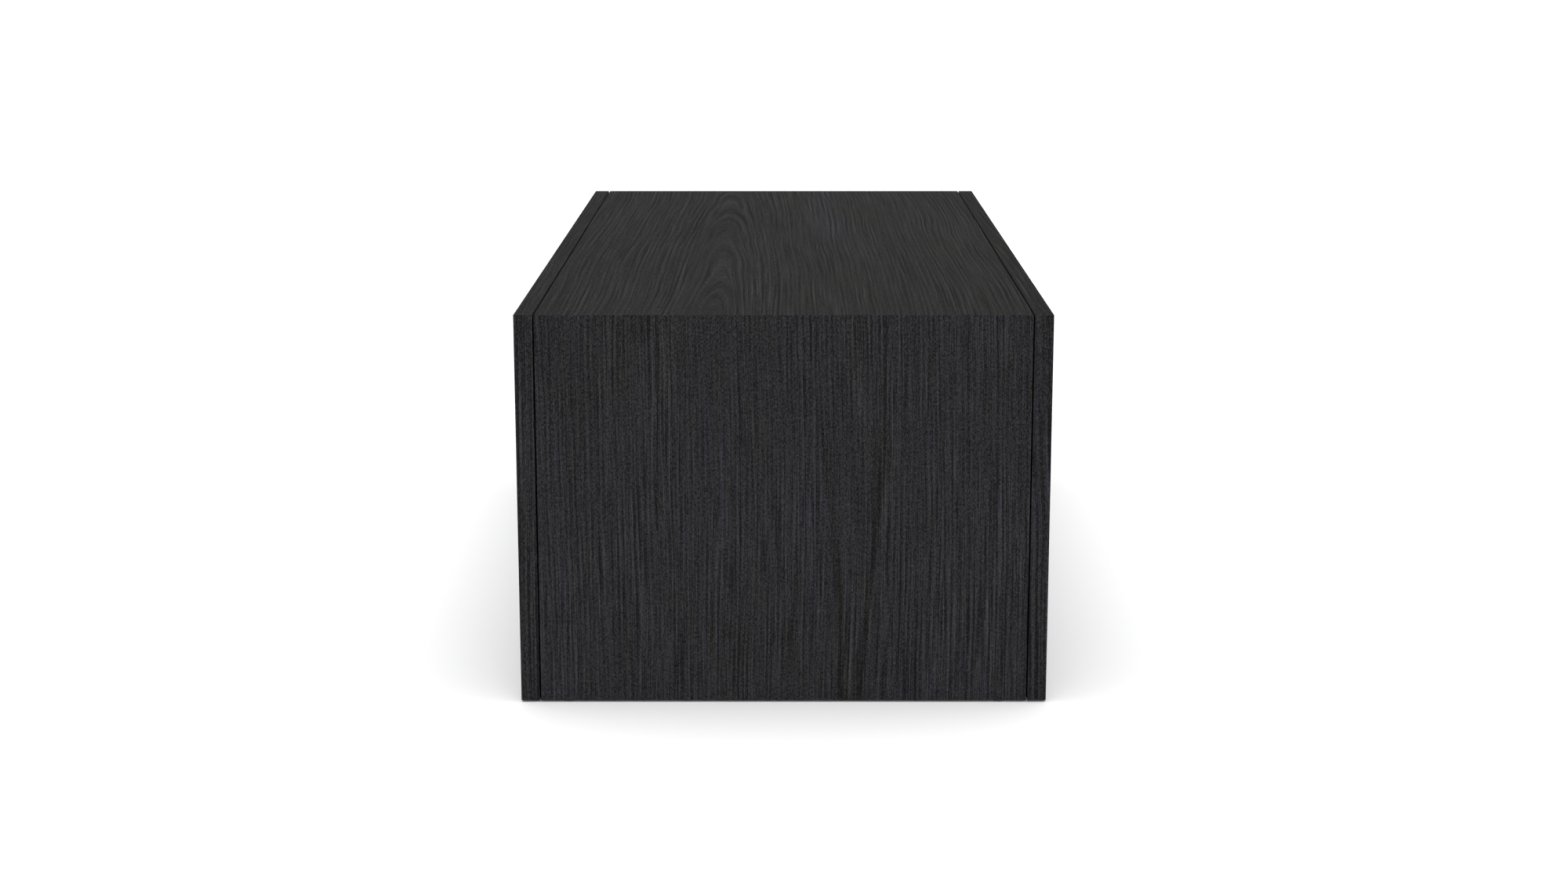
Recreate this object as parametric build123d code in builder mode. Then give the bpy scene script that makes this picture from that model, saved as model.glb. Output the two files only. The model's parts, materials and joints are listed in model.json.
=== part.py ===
"""Storage coffee table: mitred carcass with two opposed push-to-open drawers.

Millimetres. X across the table, Y along it, +Z up. The origin is the centre of the footprint, on the floor.
"""

import os
from math import acos, cos, pi, radians, sin, tan

from build123d import *

# Overall size
LENGTH = 1200.0
WIDTH = 572.0
HEIGHT = 427.0
BOARD = 20.0
FRONT_GAP = 1.7
GLIDE_HEIGHT = 2.0

# Carcass
CARCASS_X = WIDTH / 2 - BOARD - FRONT_GAP
END_INNER_Y = LENGTH / 2 - BOARD
TOP_UNDERSIDE = HEIGHT - BOARD
BOTTOM_BOARD = 18.0
BOTTOM_TOP = GLIDE_HEIGHT + BOTTOM_BOARD
DIVIDER_BOARD = 16.0

# Spline across each mitre
SPLINE_LONG = 10.0
SPLINE_THICK = 4.0
SPLINE_HALF_X = 248.0
SPLINE_FROM_CORNER = 6.0
SPLINE_GROOVE_EXTRA = 0.6
MITRE_ANGLE = 45.0

# Dowels
DOWEL_R = 4.0
DOWEL_LENGTH = 30.0
DOWEL_SHORT_END = 12.0
HOLE_EXTRA_R = 0.1
END_DOWEL_X = (-205.0, -60.0, 60.0, 205.0)
END_DOWEL_Z = GLIDE_HEIGHT + BOTTOM_BOARD / 2
DIVIDER_DOWEL_Y = (-480.0, -160.0, 160.0, 480.0)

# Cam fittings
CAM_R = 7.5
CAM_DEPTH = 12.5
CAM_FROM_EDGE = 34.0
CAM_X = (-140.0, 140.0)
CAM_BOLT_R = 3.0
CAM_NECK_DEPTH = 1.0
CAM_NECK_FROM_DISC = 8.0
CAM_BOLT_BORE_R = 3.6
CAM_THREAD_R = 2.5
CAM_THREAD_LENGTH = 11.0
CAM_HEAD_R = 3.4
CAM_SLOT_WIDTH = 1.4
CAM_SLOT_DEPTH = 2.0
CAM_SLOT_LONG = 9.0

# Floor glides
GLIDE_R = 8.0
GLIDE_NAIL_R = 1.0
GLIDE_NAIL_LENGTH = 12.0
GLIDE_CHAMFER = 0.6
GLIDE_X = 235.0
GLIDE_Y = (-590.0, 0.0, 590.0)

# Drawer box
BOX_X0 = 16.0
BOX_X1 = WIDTH / 2 - BOARD
BOX_BOARD = 12.0
RUNNER_SPACE = 12.7
BOX_SIDE_Y = END_INNER_Y - RUNNER_SPACE
BOX_Z0 = 50.0
BOX_Z1 = 370.0
BOX_BOTTOM_Z = 60.0
BOX_BOTTOM_THICK = 8.0
GROOVE_DEPTH = 5.5
GROOVE_BOTTOM_PLAY = 0.5
BOX_SCREW_EXTRA = 0.2
BOX_DOWEL_R = 3.0
BOX_DOWEL_LENGTH = 28.0
BOX_DOWEL_SHORT_END = 9.0
BOX_DOWEL_Z = (95.0, 210.0, 325.0)

# Screws through the inner front
FRONT_SCREW_R = 2.0
FRONT_SCREW_HEAD_R = 3.8
FRONT_SCREW_HEAD_DEPTH = 2.4
FRONT_SCREW_LENGTH = 27.0
FRONT_SCREW_Y = (-480.0, -160.0, 160.0, 480.0)
FRONT_SCREW_Z = (115.0, 325.0)

# Small pan-head screw used for all the drawer hardware
PAN_R = 1.75
PAN_LENGTH = 11.0
PAN_HEAD_R = 3.2
PAN_HEAD_HEIGHT = 2.0
PAN_HEAD_FLAT_SHARE = 0.7
PAN_HEAD_SHOULDER_SHARE = 0.55
PAN_CROSS_WIDTH = 0.6
PILOT_EXTRA_R = 0.1
HOLE_EXTRA_LENGTH = 0.3
CROSS_DEPTH_SHARE = 0.6
COUNTERSUNK_CROSS_WIDTH = 0.7

# Ball-bearing runners
RUNNER_Z = 130.0
RUNNER_SHEET = 1.2
CABINET_X = (10.0, 260.0)
CABINET_HALF_Z = 22.5
CABINET_FLANGE_S = 11.5
MIDDLE_X = (12.0, 258.0)
MIDDLE_WEB_S = 3.0
MIDDLE_FLANGE_S = 11.0
MIDDLE_HALF_Z = 17.5
SLIDE_X = (14.0, 256.0)
SLIDE_HALF_Z = 12.5
SLIDE_TIP_S = 6.0
LIP = 0.7
CABINET_LIP_LENGTH = 1.0
SLIDE_LIP = 0.4
SLIDE_LIP_LENGTH = 0.5
CAGE_SHEET = 0.6
OUTER_CAGE_X = (73.0, 200.0)
OUTER_CAGE_S = (1.8, 9.3)
INNER_CAGE_X = (74.0, 199.0)
INNER_CAGE_S = (4.7, 10.6)
CAGE_STRIP = 0.8
BALL_R = 1.85
BALL_HOLE_R = 1.95
BALL_COUNT = 6
BALL_PITCH = 22.0
BALL_FIRST_X = 81.5
OUTER_BALL_S = 7.0
OUTER_BALL_Z = 19.4
INNER_BALL_S = 8.4
INNER_BALL_Z = 14.4
CABINET_SCREW_X = (35.0, 131.0, 227.0)
CABINET_SCREW_R = 2.0
CABINET_SCREW_HEAD_R = 3.6
CABINET_SCREW_HEAD_DEPTH = 1.8
CABINET_SCREW_LENGTH = 15.0
SLIDE_SCREW_X = (40.0, 135.0, 230.0)

# Anti-racking rack and pinion
MODULE = 1.0
TOOTH_ADDENDUM = 0.95
TOOTH_DEDENDUM = 1.2
FLANK_STEPS = 6
TEETH = 16
PITCH_R = MODULE * TEETH / 2
PRESSURE = radians(20)
BACKLASH = 0.16
RACK_PITCH_Z = 29.0
RACK_X = (16.0, 263.0)
RACK_Y = (564.0, 572.0)
RACK_TAB_Y = 579.5
RACK_TAB_THICK = 3.0
RACK_SCREW_X = (25.0, 100.0, 175.0, 250.0)
RACK_SCREW_Y = 575.8
SHAFT_X = 34.0
SHAFT_Z = RACK_PITCH_Z + PITCH_R
SHAFT_CHAMFER = 0.4
SHAFT_R = 3.0
SHAFT_HALF_Y = 574.0
PINION_Y = (565.0, 571.0)
BEARING_R = 3.06
BRACKET_Y = (-541.0, -200.0, 200.0, 541.0)
BRACKET_THICK = 10.0
BRACKET_X = (28.0, 62.0)
BRACKET_FLANGE = 5.0
BRACKET_SLOPE = 6.0
BRACKET_LEG_X = 40.0
BRACKET_LOW_Z = 31.0
BRACKET_SCREW_X = 52.0

# Push latch
LATCH_Z = 26.0
LATCH_X = (12.0, 78.0)
LATCH_HALF_Y = 9.0
LATCH_HALF_Z = 6.0
LATCH_TAB_Y = 19.0
LATCH_TAB_THICK = 3.0
LATCH_BORE_R = 5.0
LATCH_BORE_X = (16.0, 74.0)
LATCH_NECK_R = 3.06
PLUNGER_R = 3.0
PLUNGER_COLLAR_R = 4.94
PLUNGER_COLLAR_X = (42.0, 47.0)
PLUNGER_TIP_X = 88.0
PLUNGER_TIP_CHAMFER = 0.8
LATCH_SCREW_X = (25.0, 65.0)
LATCH_SCREW_Y = 14.5
SPRING_COIL_R = 3.4
SPRING_WIRE_R = 0.45
SPRING_X = (16.6, 41.4)
SPRING_TURNS = 8
STRIKE_CLEARANCE = 1.6
STRIKE_THICK = 4.0
STRIKE_HALF_Y = 12.0
STRIKE_LOW_Z = 21.5
STRIKE_FLANGE = 5.0
STRIKE_SLOPE = 6.0
STRIKE_X1 = 118.0
STRIKE_SCREW_X = 106.0
STRIKE_SCREW_Y = 7.0

SIDES = {"left": -1, "right": 1}
ENDS = (-1, 1)

saved = []


def keep(part, node):
    """Label a finished piece and write it to its own file."""
    part.label = node
    export_step(part, "parts/" + node + ".step")
    saved.append(node)


def rect_between(a0, a1, b0, b1):
    """A rectangle by its limits, in the sketch that is open."""
    with Locations(((a0 + a1) / 2, (b0 + b1) / 2)):
        Rectangle(abs(a1 - a0), abs(b1 - b0))


def board(x0, x1, y0, y1, z0, z1):
    """A plain board by its limits, in the part that is open."""
    with BuildSketch(Plane.XY.offset(z0)) as outline:
        rect_between(x0, x1, y0, y1)
    extrude(outline.sketch, amount=z1 - z0)


def aimed(point, direction):
    """A plane at a point whose normal is the direction."""
    return Plane(origin=point, z_dir=direction)


def drill(point, direction, radius, depth):
    """A round hole from a point along a direction, in the part that is open."""
    with BuildSketch(aimed(point, direction)) as mouth:
        Circle(radius)
    extrude(mouth.sketch, amount=depth, mode=Mode.SUBTRACT)


def copies(shape, places):
    """The same fastener at each (point, direction)."""
    with BuildPart() as group:
        with Locations(*[aimed(point, direction).location for point, direction in places]):
            add(shape)
    return group.part


# Fasteners, each drawn along +Z with its seat at z = 0


def dowel(radius, length, start):
    """Grooveless wooden dowel from -start to length - start."""
    with BuildPart() as peg:
        with BuildSketch(Plane.XY.offset(-start)):
            Circle(radius)
        extrude(amount=length)
        chamfer(peg.edges().filter_by(GeomType.CIRCLE), radius / 4)
    return peg.part


def pan_screw():
    """Small pan-head screw: head above z = 0, shank below."""
    with BuildPart() as screw:
        with BuildSketch(Plane.XZ):
            with BuildLine():
                Polyline(
                    (0, PAN_HEAD_HEIGHT),
                    (PAN_HEAD_R * PAN_HEAD_FLAT_SHARE, PAN_HEAD_HEIGHT),
                    (PAN_HEAD_R, PAN_HEAD_HEIGHT * PAN_HEAD_SHOULDER_SHARE),
                    (PAN_HEAD_R, 0),
                    (PAN_R, 0),
                    (PAN_R, -PAN_LENGTH + PAN_R),
                    (0, -PAN_LENGTH),
                    close=True,
                )
            make_face()
        revolve(axis=Axis.Z)
        with BuildSketch(Plane.XY.offset(PAN_HEAD_HEIGHT)):
            Rectangle(PAN_HEAD_R, PAN_CROSS_WIDTH)
            Rectangle(PAN_CROSS_WIDTH, PAN_HEAD_R)
        extrude(amount=-PAN_HEAD_HEIGHT * CROSS_DEPTH_SHARE, mode=Mode.SUBTRACT)
    return screw.part


def countersunk_profile(radius, head_r, head_depth, length):
    """Half section of a countersunk screw whose flat head is at z = 0."""
    with BuildLine() as outline:
        Polyline(
            (0, 0),
            (head_r, 0),
            (radius, -head_depth),
            (radius, -length + radius),
            (0, -length),
            close=True,
        )
    make_face(outline.edges())


def countersunk_screw(radius, head_r, head_depth, length):
    """Countersunk screw with a cross recess: flat head at z = 0, shank below."""
    with BuildPart() as screw:
        with BuildSketch(Plane.XZ):
            countersunk_profile(radius, head_r, head_depth, length)
        revolve(axis=Axis.Z)
        with BuildSketch(Plane.XY):
            Rectangle(head_r, COUNTERSUNK_CROSS_WIDTH)
            Rectangle(COUNTERSUNK_CROSS_WIDTH, head_r)
        extrude(amount=-head_depth * CROSS_DEPTH_SHARE, mode=Mode.SUBTRACT)
    return screw.part


def countersunk_cutter(radius, head_r, head_depth, length):
    """The hole that a countersunk screw fills, a little larger all round."""
    with BuildPart() as cutter:
        with BuildSketch(Plane.XZ):
            countersunk_profile(
                radius + PILOT_EXTRA_R, head_r + PILOT_EXTRA_R, head_depth, length + HOLE_EXTRA_LENGTH
            )
        revolve(axis=Axis.Z)
    return cutter.part


def cut_places(cutter, places):
    """Cut the same shape at each (point, direction), in the part that is open."""
    with Locations(*[aimed(point, direction).location for point, direction in places]):
        add(cutter, mode=Mode.SUBTRACT)


# Where the fasteners go: (point, direction)

end_dowel_places = [
    ((x, e * END_INNER_Y, END_DOWEL_Z), (0, e, 0)) for e in ENDS for x in END_DOWEL_X
]
divider_low_places = [((0, y, BOTTOM_TOP), (0, 0, -1)) for y in DIVIDER_DOWEL_Y]
divider_high_places = [((0, y, TOP_UNDERSIDE), (0, 0, 1)) for y in DIVIDER_DOWEL_Y]
cam_places = [(x, e) for e in ENDS for x in CAM_X]
glide_places = [((s * GLIDE_X, y, GLIDE_HEIGHT), (0, 0, 1)) for s in (-1, 1) for y in GLIDE_Y]


def cabinet_screw_places(side):
    """Heads lie flush in the cabinet members, pointing out of the end panels."""
    seat = END_INNER_Y - RUNNER_SHEET
    return [((side * x, e * seat, RUNNER_Z), (0, -e, 0)) for e in ENDS for x in CABINET_SCREW_X]


def slide_screw_places(side):
    """Pan heads inside the drawer members, shanks into the box sides."""
    seat = BOX_SIDE_Y + RUNNER_SHEET
    return [((side * x, e * seat, RUNNER_Z), (0, e, 0)) for e in ENDS for x in SLIDE_SCREW_X]


def rack_screw_places(side):
    """Pan heads on the tabs of the racks."""
    seat = BOTTOM_TOP + RACK_TAB_THICK
    return [((side * x, e * RACK_SCREW_Y, seat), (0, 0, 1)) for e in ENDS for x in RACK_SCREW_X]


def latch_screw_places(side):
    """Pan heads on the tabs of the latch housing."""
    seat = BOTTOM_TOP + LATCH_TAB_THICK
    return [((side * x, e * LATCH_SCREW_Y, seat), (0, 0, 1)) for e in ENDS for x in LATCH_SCREW_X]


def under_screw_places(side):
    """Pan heads under the drawer bottom, through the brackets and the strike."""
    low = BOX_BOTTOM_Z - BRACKET_FLANGE
    places = [((side * BRACKET_SCREW_X, y, low), (0, 0, -1)) for y in BRACKET_Y]
    low = BOX_BOTTOM_Z - STRIKE_FLANGE
    places += [((side * STRIKE_SCREW_X, e * STRIKE_SCREW_Y, low), (0, 0, -1)) for e in ENDS]
    return places


def front_screw_places(side):
    """Heads flush in the inner front, shanks into the drawer front."""
    seat = side * (BOX_X1 - BOX_BOARD)
    return [((seat, y, z), (-side, 0, 0)) for y in FRONT_SCREW_Y for z in FRONT_SCREW_Z]


def box_dowel_places(side):
    """Corner dowels, from the sides into the ends of the inner front and back."""
    rows = (BOX_X0 + BOX_BOARD / 2, BOX_X1 - BOX_BOARD / 2)
    seat = BOX_SIDE_Y - BOX_BOARD
    return [((side * x, e * seat, z), (0, e, 0)) for e in ENDS for x in rows for z in BOX_DOWEL_Z]


# Carcass


def spline_section(end, extra=0.0):
    """Spline section across the mitre, in the YZ sketch that is open."""
    centre = SPLINE_FROM_CORNER
    with Locations(Location((end * (END_INNER_Y + centre), TOP_UNDERSIDE + centre), -MITRE_ANGLE * end)):
        Rectangle(SPLINE_LONG + extra, SPLINE_THICK)


def spline_groove(end):
    """Blind groove for a spline, in the part that is open."""
    with BuildSketch(Plane.YZ.offset(-SPLINE_HALF_X)) as section:
        spline_section(end, SPLINE_GROOVE_EXTRA)
    extrude(section.sketch, amount=2 * SPLINE_HALF_X, mode=Mode.SUBTRACT)


def make_top_panel():
    """Top board, mitred under both ends."""
    with BuildPart() as top:
        with BuildSketch(Plane.YZ.offset(-CARCASS_X)):
            with BuildLine():
                Polyline(
                    (-LENGTH / 2, HEIGHT),
                    (LENGTH / 2, HEIGHT),
                    (END_INNER_Y, TOP_UNDERSIDE),
                    (-END_INNER_Y, TOP_UNDERSIDE),
                    close=True,
                )
            make_face()
        extrude(amount=2 * CARCASS_X)
        for end in ENDS:
            spline_groove(end)
        for point, direction in divider_high_places:
            drill(point, direction, DOWEL_R + HOLE_EXTRA_R, DOWEL_SHORT_END)
    return top.part


def make_end_panel(end):
    """End board, mitred at the top, standing on the glides."""
    outer = end * LENGTH / 2
    inner = end * END_INNER_Y
    with BuildPart() as panel:
        with BuildSketch(Plane.YZ.offset(-CARCASS_X)):
            with BuildLine():
                Polyline(
                    (outer, HEIGHT),
                    (outer, GLIDE_HEIGHT),
                    (inner, GLIDE_HEIGHT),
                    (inner, TOP_UNDERSIDE),
                    close=True,
                )
            make_face()
        extrude(amount=2 * CARCASS_X)
        spline_groove(end)
        for point, direction in end_dowel_places:
            if direction[1] == end:
                drill(point, direction, DOWEL_R + HOLE_EXTRA_R, DOWEL_SHORT_END)
        for x in CAM_X:
            drill((x, inner, END_DOWEL_Z), (0, end, 0), CAM_THREAD_R + HOLE_EXTRA_R, CAM_THREAD_LENGTH)
        for point, direction in glide_places:
            if point[1] * end > END_INNER_Y:
                drill(point, direction, GLIDE_NAIL_R + HOLE_EXTRA_R, GLIDE_NAIL_LENGTH + HOLE_EXTRA_LENGTH)
        cutter = countersunk_cutter(
            CABINET_SCREW_R, CABINET_SCREW_HEAD_R, CABINET_SCREW_HEAD_DEPTH, CABINET_SCREW_LENGTH
        )
        for side in SIDES.values():
            places = [p for p in cabinet_screw_places(side) if p[1][1] == -end]
            cut_places(cutter, places)
    return panel.part


def make_bottom_panel():
    """Bottom board between the ends, bored for cams, dowels, screws and glides."""
    with BuildPart() as bottom:
        board(-CARCASS_X, CARCASS_X, -END_INNER_Y, END_INNER_Y, GLIDE_HEIGHT, BOTTOM_TOP)
        for (x, y, z), (_, way, _) in end_dowel_places:
            drill((x, y, z), (0, -way, 0), DOWEL_R + HOLE_EXTRA_R, DOWEL_LENGTH - DOWEL_SHORT_END)
        for x, end in cam_places:
            cam_y = END_INNER_Y - CAM_FROM_EDGE
            drill((x, end * cam_y, BOTTOM_TOP), (0, 0, -1), CAM_R + HOLE_EXTRA_R, CAM_DEPTH)
            drill((x, end * END_INNER_Y, END_DOWEL_Z), (0, -end, 0), CAM_BOLT_BORE_R, CAM_FROM_EDGE - 1)
        for point, _ in divider_low_places:
            drill(point, (0, 0, -1), DOWEL_R + HOLE_EXTRA_R, DOWEL_SHORT_END)
        for point, direction in glide_places:
            if point[1] == 0:
                drill(point, direction, GLIDE_NAIL_R + HOLE_EXTRA_R, GLIDE_NAIL_LENGTH + HOLE_EXTRA_LENGTH)
        for side in SIDES.values():
            for (x, y, _), _ in rack_screw_places(side) + latch_screw_places(side):
                drill((x, y, BOTTOM_TOP), (0, 0, -1), PAN_R + PILOT_EXTRA_R, PAN_LENGTH)
    return bottom.part


def make_divider():
    """Board between the two drawers, dowelled to the top and bottom."""
    depth = DOWEL_LENGTH - DOWEL_SHORT_END
    with BuildPart() as divider:
        half = DIVIDER_BOARD / 2
        board(-half, half, -END_INNER_Y, END_INNER_Y, BOTTOM_TOP, TOP_UNDERSIDE)
        for point, _ in divider_low_places:
            drill(point, (0, 0, 1), DOWEL_R + HOLE_EXTRA_R, depth)
        for point, _ in divider_high_places:
            drill(point, (0, 0, -1), DOWEL_R + HOLE_EXTRA_R, depth)
    return divider.part


def make_splines():
    """Loose tongues glued in the two mitres."""
    with BuildPart() as splines:
        for end in ENDS:
            with BuildSketch(Plane.YZ.offset(-SPLINE_HALF_X)):
                spline_section(end)
            extrude(amount=2 * SPLINE_HALF_X)
    return splines.part


def make_cam_discs():
    """Cam discs, flush with the upper face of the bottom board."""
    with BuildPart() as disc:
        with BuildSketch(Plane.XY.offset(-CAM_DEPTH)):
            Circle(CAM_R)
        extrude(amount=CAM_DEPTH)
        with BuildSketch(Plane.XY):
            Rectangle(CAM_SLOT_LONG, CAM_SLOT_WIDTH)
            Rectangle(CAM_SLOT_WIDTH, CAM_SLOT_LONG)
        extrude(amount=-CAM_SLOT_DEPTH, mode=Mode.SUBTRACT)
        depth = BOTTOM_TOP - END_DOWEL_Z
        drill((0, CAM_R, -depth), (0, -1, 0), CAM_BOLT_BORE_R, CAM_R + CAM_BOLT_BORE_R)
    cam_y = END_INNER_Y - CAM_FROM_EDGE
    with BuildPart() as discs:
        with Locations(*[Location((x, e * cam_y, BOTTOM_TOP), (0, 0, 90 - 90 * e)) for x, e in cam_places]):
            add(disc.part)
    return discs.part


def make_cam_bolts():
    """Bolts screwed into the end boards, with their heads inside the cams."""
    with BuildPart() as bolt:
        with BuildSketch(Plane.XZ):
            with BuildLine():
                Polyline(
                    (0, CAM_THREAD_LENGTH),
                    (CAM_THREAD_R, CAM_THREAD_LENGTH),
                    (CAM_THREAD_R, 0),
                    (CAM_BOLT_R, 0),
                    (CAM_BOLT_R, -CAM_FROM_EDGE + CAM_NECK_FROM_DISC),
                    (CAM_BOLT_R - CAM_NECK_DEPTH, -CAM_FROM_EDGE + CAM_NECK_FROM_DISC - CAM_NECK_DEPTH),
                    (CAM_BOLT_R - 1, -CAM_FROM_EDGE + 3),
                    (CAM_HEAD_R, -CAM_FROM_EDGE + 2),
                    (CAM_HEAD_R, -CAM_FROM_EDGE - 1),
                    (CAM_HEAD_R - 1, -CAM_FROM_EDGE - 2),
                    (0, -CAM_FROM_EDGE - 2),
                    close=True,
                )
            make_face()
        revolve(axis=Axis.Z)
    return copies(bolt.part, [((x, e * END_INNER_Y, END_DOWEL_Z), (0, e, 0)) for x, e in cam_places])


def make_glides():
    """Nail-on plastic glides under both end boards and the bottom board."""
    with BuildPart() as glide:
        with BuildSketch(Plane.XY.offset(-GLIDE_HEIGHT)):
            Circle(GLIDE_R)
        extrude(amount=GLIDE_HEIGHT)
        chamfer(glide.edges().group_by(Axis.Z)[0], GLIDE_CHAMFER)
        with BuildSketch(Plane.XY):
            Circle(GLIDE_NAIL_R)
        extrude(amount=GLIDE_NAIL_LENGTH)
    return copies(glide.part, glide_places)


# Runners: s is the distance from the end board, h the height from the runner's centre line


def runner_strip(end, x_range, rects):
    """Extrude rectangles of the runner's section along X, in the part that is open."""
    with BuildSketch(Plane.YZ.offset(x_range[0])) as section:
        for s0, s1, h0, h1 in rects:
            rect_between(end * (END_INNER_Y - s0), end * (END_INNER_Y - s1), RUNNER_Z + h0, RUNNER_Z + h1)
    extrude(section.sketch, amount=x_range[1] - x_range[0])


def mirrored_range(side, x_range):
    """A range of X on the given side, low end first."""
    return tuple(sorted(side * x for x in x_range))


def channel_rects(web, flange, half, lip_s, lip):
    """Section of a channel: web and flange limits in s, half height, and a lip at the flange tips."""
    rects = [(web[0], web[1], -half, half)]
    for way in (-1, 1):
        rects.append((flange[0], flange[1], way * half, way * (half - RUNNER_SHEET)))
        rects.append((lip_s[0], lip_s[1], way * half, way * (half + lip)))
    return rects


def make_cabinet_members(side):
    """Outer runner members, screwed to the end boards."""
    tip = CABINET_FLANGE_S
    with BuildPart() as members:
        for end in ENDS:
            web = (0, RUNNER_SHEET)
            lip = (tip - CABINET_LIP_LENGTH, tip)
            rects = channel_rects(web, (0, tip), CABINET_HALF_Z, lip, -RUNNER_SHEET - LIP)
            runner_strip(end, mirrored_range(side, CABINET_X), rects)
        cutter = countersunk_cutter(
            CABINET_SCREW_R, CABINET_SCREW_HEAD_R, CABINET_SCREW_HEAD_DEPTH, CABINET_SCREW_LENGTH
        )
        cut_places(cutter, cabinet_screw_places(side))
    return members.part


def make_middle_members(side):
    """Middle runner members, held between the two rows of balls."""
    tip = MIDDLE_FLANGE_S
    web = (MIDDLE_WEB_S, MIDDLE_WEB_S + RUNNER_SHEET)
    with BuildPart() as members:
        for end in ENDS:
            rects = channel_rects(web, (web[0], tip), MIDDLE_HALF_Z, (tip - 1, tip), LIP)
            runner_strip(end, mirrored_range(side, MIDDLE_X), rects)
    return members.part


def make_slide_members(side):
    """Inner runner members, screwed to the sides of the drawer box."""
    web = (RUNNER_SPACE - RUNNER_SHEET, RUNNER_SPACE)
    tip = SLIDE_TIP_S
    with BuildPart() as members:
        for end in ENDS:
            rects = channel_rects(web, (tip, web[1]), SLIDE_HALF_Z, (tip, tip + SLIDE_LIP_LENGTH), SLIDE_LIP)
            runner_strip(end, mirrored_range(side, SLIDE_X), rects)
        for (x, y, z), (_, way, _) in slide_screw_places(side):
            drill((x, y, z), (0, -way, 0), PAN_R + PILOT_EXTRA_R, RUNNER_SHEET)
    return members.part


def ball_points(side, ball_s, ball_h):
    """Ball centres of both runners of a drawer."""
    points = []
    for end in ENDS:
        for way in (-1, 1):
            for n in range(BALL_COUNT):
                x = side * (BALL_FIRST_X + n * BALL_PITCH)
                points.append((x, end * (END_INNER_Y - ball_s), RUNNER_Z + way * ball_h))
    return points


def make_balls(side, ball_s, ball_h):
    """The balls of one cage pair."""
    with BuildPart() as balls:
        with Locations(*ball_points(side, ball_s, ball_h)):
            Sphere(BALL_R)
    return balls.part


def make_cages(side, x_range, s_range, ball_s, ball_h):
    """Folded strips with a hole for each ball."""
    low = ball_h - CAGE_STRIP / 2
    high = ball_h + CAGE_STRIP / 2
    rects = [(s_range[0], s_range[0] + CAGE_SHEET, -high, high)]
    for way in (-1, 1):
        rects.append((s_range[0], s_range[1], way * low, way * high))
    with BuildPart() as cages:
        for end in ENDS:
            runner_strip(end, mirrored_range(side, x_range), rects)
        for x, y, z in ball_points(side, ball_s, ball_h):
            with BuildSketch(Plane.XY.offset(z - CAGE_STRIP)):
                with Locations((x, y)):
                    Circle(BALL_HOLE_R)
            extrude(amount=2 * CAGE_STRIP, mode=Mode.SUBTRACT)
    return cages.part


# Drawer


def make_drawer_front(side):
    """Full-length front board that covers the whole side of the table."""
    x0, x1 = mirrored_range(side, (BOX_X1, WIDTH / 2))
    cutter = countersunk_cutter(
        FRONT_SCREW_R, FRONT_SCREW_HEAD_R, FRONT_SCREW_HEAD_DEPTH, FRONT_SCREW_LENGTH
    )
    with BuildPart() as front:
        board(x0, x1, -LENGTH / 2, LENGTH / 2, GLIDE_HEIGHT, HEIGHT)
        cut_places(cutter, front_screw_places(side))
    return front.part


def groove_board(side, x_range, y_range):
    """Groove for the drawer bottom, in the part that is open."""
    x0, x1 = mirrored_range(side, x_range)
    with BuildSketch(Plane.XY.offset(BOX_BOTTOM_Z)) as groove:
        rect_between(x0, x1, y_range[0], y_range[1])
    extrude(groove.sketch, amount=BOX_BOTTOM_THICK, mode=Mode.SUBTRACT)


GROOVE_X = (BOX_X0 + BOX_BOARD - GROOVE_DEPTH, BOX_X1 - BOX_BOARD + GROOVE_DEPTH)
GROOVE_Y = BOX_SIDE_Y - BOX_BOARD + GROOVE_DEPTH


def make_box_side(side, end):
    """Box side, grooved for the bottom, bored for the dowels and runner screws."""
    x0, x1 = mirrored_range(side, (BOX_X0, BOX_X1))
    inner = BOX_SIDE_Y - BOX_BOARD
    with BuildPart() as panel:
        board(x0, x1, end * inner, end * BOX_SIDE_Y, BOX_Z0, BOX_Z1)
        groove_board(side, GROOVE_X, (end * inner, end * GROOVE_Y))
        for point, direction in box_dowel_places(side):
            if direction[1] == end:
                drill(point, direction, BOX_DOWEL_R + HOLE_EXTRA_R, BOX_DOWEL_SHORT_END)
        for (x, _, z), (_, way, _) in slide_screw_places(side):
            if way == end:
                drill((x, end * BOX_SIDE_Y, z), (0, -end, 0), PAN_R + PILOT_EXTRA_R, PAN_LENGTH - 1)
    return panel.part


def make_box_cross(side, x_range):
    """Inner front or back of the box, grooved for the bottom and bored for the dowels."""
    x0, x1 = mirrored_range(side, x_range)
    inner = BOX_SIDE_Y - BOX_BOARD
    depth = BOX_DOWEL_LENGTH - BOX_DOWEL_SHORT_END
    cutter = countersunk_cutter(
        FRONT_SCREW_R, FRONT_SCREW_HEAD_R, FRONT_SCREW_HEAD_DEPTH, FRONT_SCREW_LENGTH
    )
    with BuildPart() as panel:
        board(x0, x1, -inner, inner, BOX_Z0, BOX_Z1)
        groove_board(side, GROOVE_X, (-inner, inner))
        for (x, y, z), (_, way, _) in box_dowel_places(side):
            if x0 < x < x1:
                drill((x, y, z), (0, -way, 0), BOX_DOWEL_R + HOLE_EXTRA_R, depth)
        if x_range[1] == BOX_X1:
            cut_places(cutter, front_screw_places(side))
    return panel.part


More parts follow.
